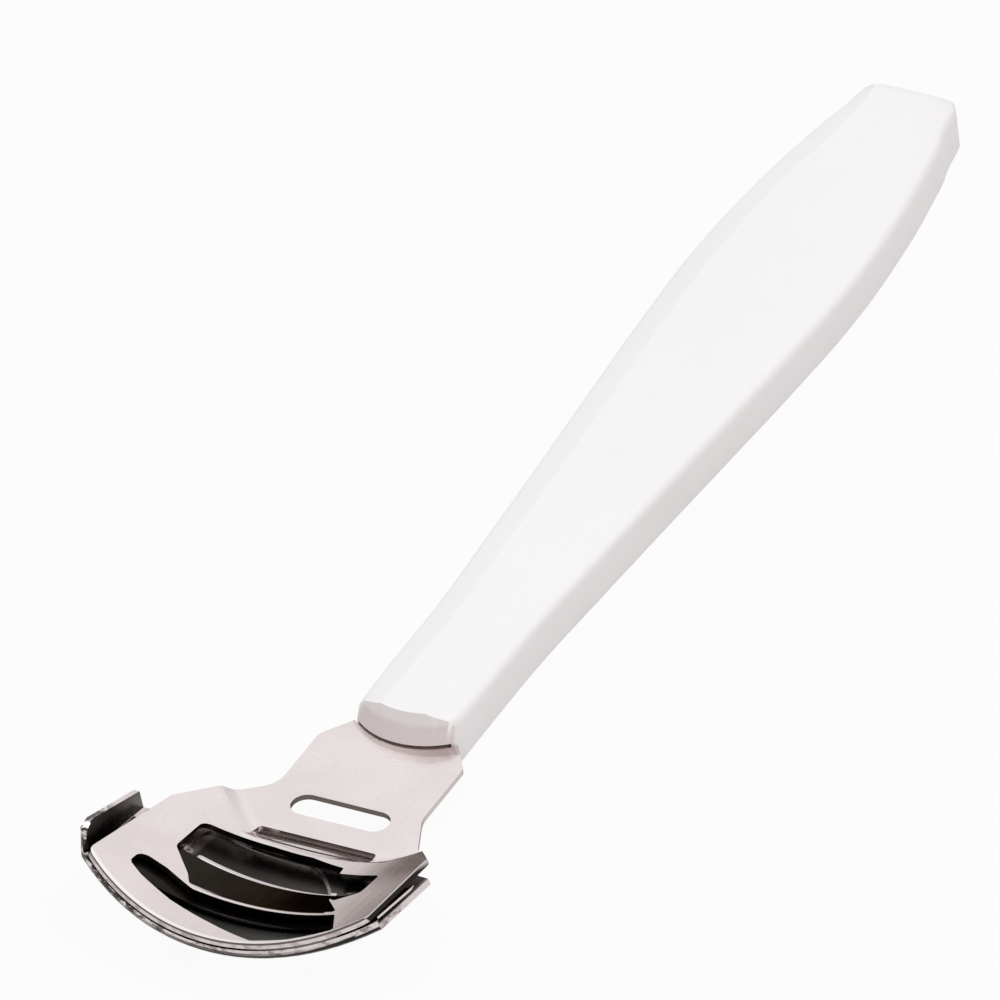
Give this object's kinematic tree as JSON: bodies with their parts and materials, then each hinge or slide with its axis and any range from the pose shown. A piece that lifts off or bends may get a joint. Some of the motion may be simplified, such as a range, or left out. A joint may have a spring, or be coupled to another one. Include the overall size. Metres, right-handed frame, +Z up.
{
  "type": "callus shaver",
  "caption": "Hand tool for shaving hard skin: a flat paddle handle, a curved steel head with a window, and a thin blade that slides out of its side for replacement.",
  "frame": {"origin": "centre of the handle's flat underside, on the surface that the tool rests on", "axes": "+X along the handle towards the steel head, +Y across the tool towards the side that the blade slides out of, +Z up from the rest surface"},
  "size_m": [0.1985, 0.0441, 0.0161],
  "materials": {
    "handle": "satin moulded white plastic",
    "head_plate": "polished stainless steel sheet",
    "guard_plate": "polished stainless steel sheet",
    "blade": "thin dark spring steel with a ground edge"
  },
  "bodies": {
    "shaver": {"handle": "handle", "head_plate": "head_plate", "guard_plate": "guard_plate"},
    "blade": {"blade": "blade"}
  },
  "joints": [
    {"name": "blade_slide_out", "type": "hinge", "parent": "shaver", "child": "blade", "pos_m": [0.0964, 0, 0.04469], "axis": [0.982, 0, 0.1891], "range_deg": [0, 62]}
  ]
}
